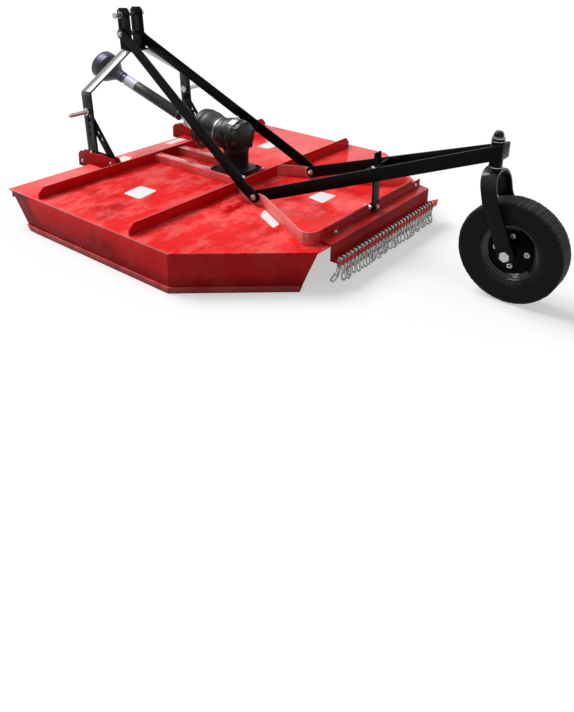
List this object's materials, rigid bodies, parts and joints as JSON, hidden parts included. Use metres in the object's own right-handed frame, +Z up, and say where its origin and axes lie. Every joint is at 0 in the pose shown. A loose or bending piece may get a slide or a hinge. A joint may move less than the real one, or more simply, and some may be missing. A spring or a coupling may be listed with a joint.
{
  "type": "rotary slasher mower",
  "caption": "Tractor mounted rotary slasher with a low deck, A-frame hitch, guarded driveline, swinging blades, rear chain curtain and a castering tail wheel.",
  "frame": {"origin": "on the ground under the middle of the machine's length and width", "axes": "+Y forward towards the tractor, +X to the machine's right, +Z up"},
  "size_m": [1.6416, 2.654, 0.9333],
  "materials": {
    "red_paint": "gloss",
    "black_paint": "semi-gloss",
    "cast_black": "satin over rough casting",
    "zinc": "zinc plated",
    "black_plastic": "satin moulded",
    "tyre_rubber": "matte",
    "blade_steel": "dark forged"
  },
  "bodies": {
    "deck": {"arm_crossbar": "black_paint", "caster_hub": "black_paint", "chain_curtain": "zinc", "chain_guard": "red_paint", "deck_lug_left": "red_paint", "deck_lug_right": "red_paint", "deck_plate": "red_paint", "front_rib": "red_paint", "gearbox_base": "cast_black", "gearbox_housing": "cast_black", "gearbox_rail_left": "red_paint", "gearbox_rail_right": "red_paint", "hitch_arch": "black_paint", "hitch_brace_left": "black_paint", "hitch_brace_right": "black_paint", "input_shield": "black_plastic", "input_yoke": "zinc", "lower_hitch_pin_left": "zinc", "lower_hitch_pin_right": "zinc", "mast_plate_left": "black_paint", "mast_plate_right": "black_paint", "mast_spacer": "black_paint", "mast_stay_left": "black_paint", "mast_stay_right": "black_paint", "rear_fence": "red_paint", "rear_rib": "red_paint", "runner_left": "red_paint", "runner_right": "red_paint", "side_skirt_left": "red_paint", "side_skirt_right": "red_paint", "tail_arm_left": "black_paint", "tail_arm_right": "black_paint", "tail_post": "black_paint", "top_link_pin": "zinc"},
    "rotor": {"blade_carrier": "blade_steel"},
    "left_blade": {"blade_left": "blade_steel"},
    "right_blade": {"blade_right": "blade_steel"},
    "joint_cross": {"rear_cross": "zinc"},
    "driveline": {"driveline_yoke": "zinc", "driveline_tube": "black_plastic"},
    "driveline_front": {"driveline_bell": "black_plastic"},
    "pto_coupling": {"front_shaft_yoke": "zinc", "front_cross": "zinc", "pto_yoke": "zinc"},
    "caster": {"caster_fork": "black_paint", "spindle_collar": "black_paint", "axle_bolt": "zinc"},
    "tail_wheel": {"wheel_rim": "black_paint", "tyre": "tyre_rubber"}
  },
  "joints": [
    {"name": "rotor_spin", "type": "hinge", "parent": "deck", "child": "rotor", "pos_m": [0, 0.28798, 0.1], "axis": [0, 0, 1], "continuous": true},
    {"name": "left_blade_swing", "type": "hinge", "parent": "rotor", "child": "left_blade", "pos_m": [-0.375, 0.28798, 0.07], "axis": [0, 0, 1], "continuous": true},
    {"name": "right_blade_swing", "type": "hinge", "parent": "rotor", "child": "right_blade", "pos_m": [0.375, 0.28798, 0.07], "axis": [0, 0, 1], "continuous": true},
    {"name": "driveline_yaw", "type": "hinge", "parent": "deck", "child": "joint_cross", "pos_m": [0, 0.55798, 0.378], "axis": [0, 0, 1], "range_deg": [-15, 15]},
    {"name": "driveline_pitch", "type": "hinge", "parent": "joint_cross", "child": "driveline", "pos_m": [0, 0.55798, 0.378], "axis": [1, 0, 0], "range_deg": [-26, 10]},
    {"name": "driveline_slide", "type": "slide", "parent": "driveline", "child": "driveline_front", "axis": [0, 0.9563, 0.2924], "range_m": [-0.02, 0.12]},
    {"name": "pto_spin", "type": "hinge", "parent": "driveline_front", "child": "pto_coupling", "pos_m": [0, 1.23696, 0.58558], "axis": [0, 0.9563, 0.2924], "continuous": true},
    {"name": "caster_swivel", "type": "hinge", "parent": "deck", "child": "caster", "pos_m": [0, -1.01702, 0.56], "axis": [0, 0, 1], "continuous": true},
    {"name": "tail_wheel_roll", "type": "hinge", "parent": "caster", "child": "tail_wheel", "pos_m": [0, -1.12202, 0.205], "axis": [1, 0, 0], "continuous": true}
  ],
  "couplings": [
    {"joint": "pto_spin", "follows": "rotor_spin", "ratio": -0.518}
  ]
}
